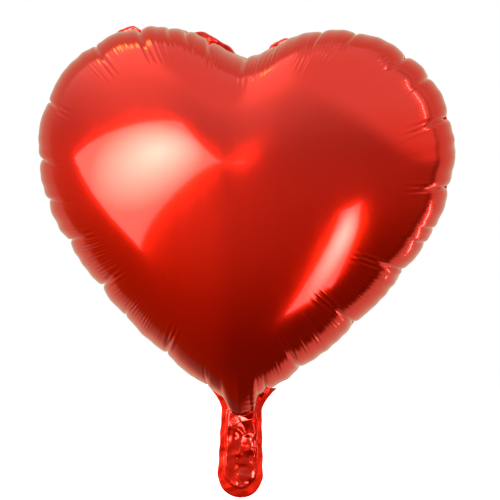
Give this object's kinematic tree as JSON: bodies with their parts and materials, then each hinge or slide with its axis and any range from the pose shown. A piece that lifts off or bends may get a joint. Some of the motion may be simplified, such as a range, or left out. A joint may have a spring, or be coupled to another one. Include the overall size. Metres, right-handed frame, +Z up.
{
  "type": "heart-shaped foil balloon",
  "caption": "Inflated heart-shaped foil balloon: two sealed foil panels, a flat self-closing film valve and a hanging filling tail with a port.",
  "frame": {"origin": "middle of the neck, on the fold between the heart's point and the tail, where the ribbon is tied", "axes": "+Z up through the heart, +X to the right seen from the front, the front faces -Y"},
  "size_m": [0.353, 0.1832, 0.401],
  "materials": {
    "foil": "satin metallic red foil, a metallised plastic film",
    "valve_film": "clear thin polyethylene film"
  },
  "bodies": {
    "envelope": {"front_panel": "foil", "back_panel": "foil", "valve_front_film": "valve_film", "valve_back_film": "valve_film"},
    "tail": {"tail_front_ply": "foil", "tail_back_ply": "foil", "inlet_front_film": "valve_film", "inlet_back_film": "valve_film"}
  },
  "joints": [
    {"name": "tail_fold", "type": "hinge", "parent": "envelope", "child": "tail", "pos_m": [0, 0, 0], "axis": [1, 0, 0], "range_deg": [-90, 90]}
  ]
}
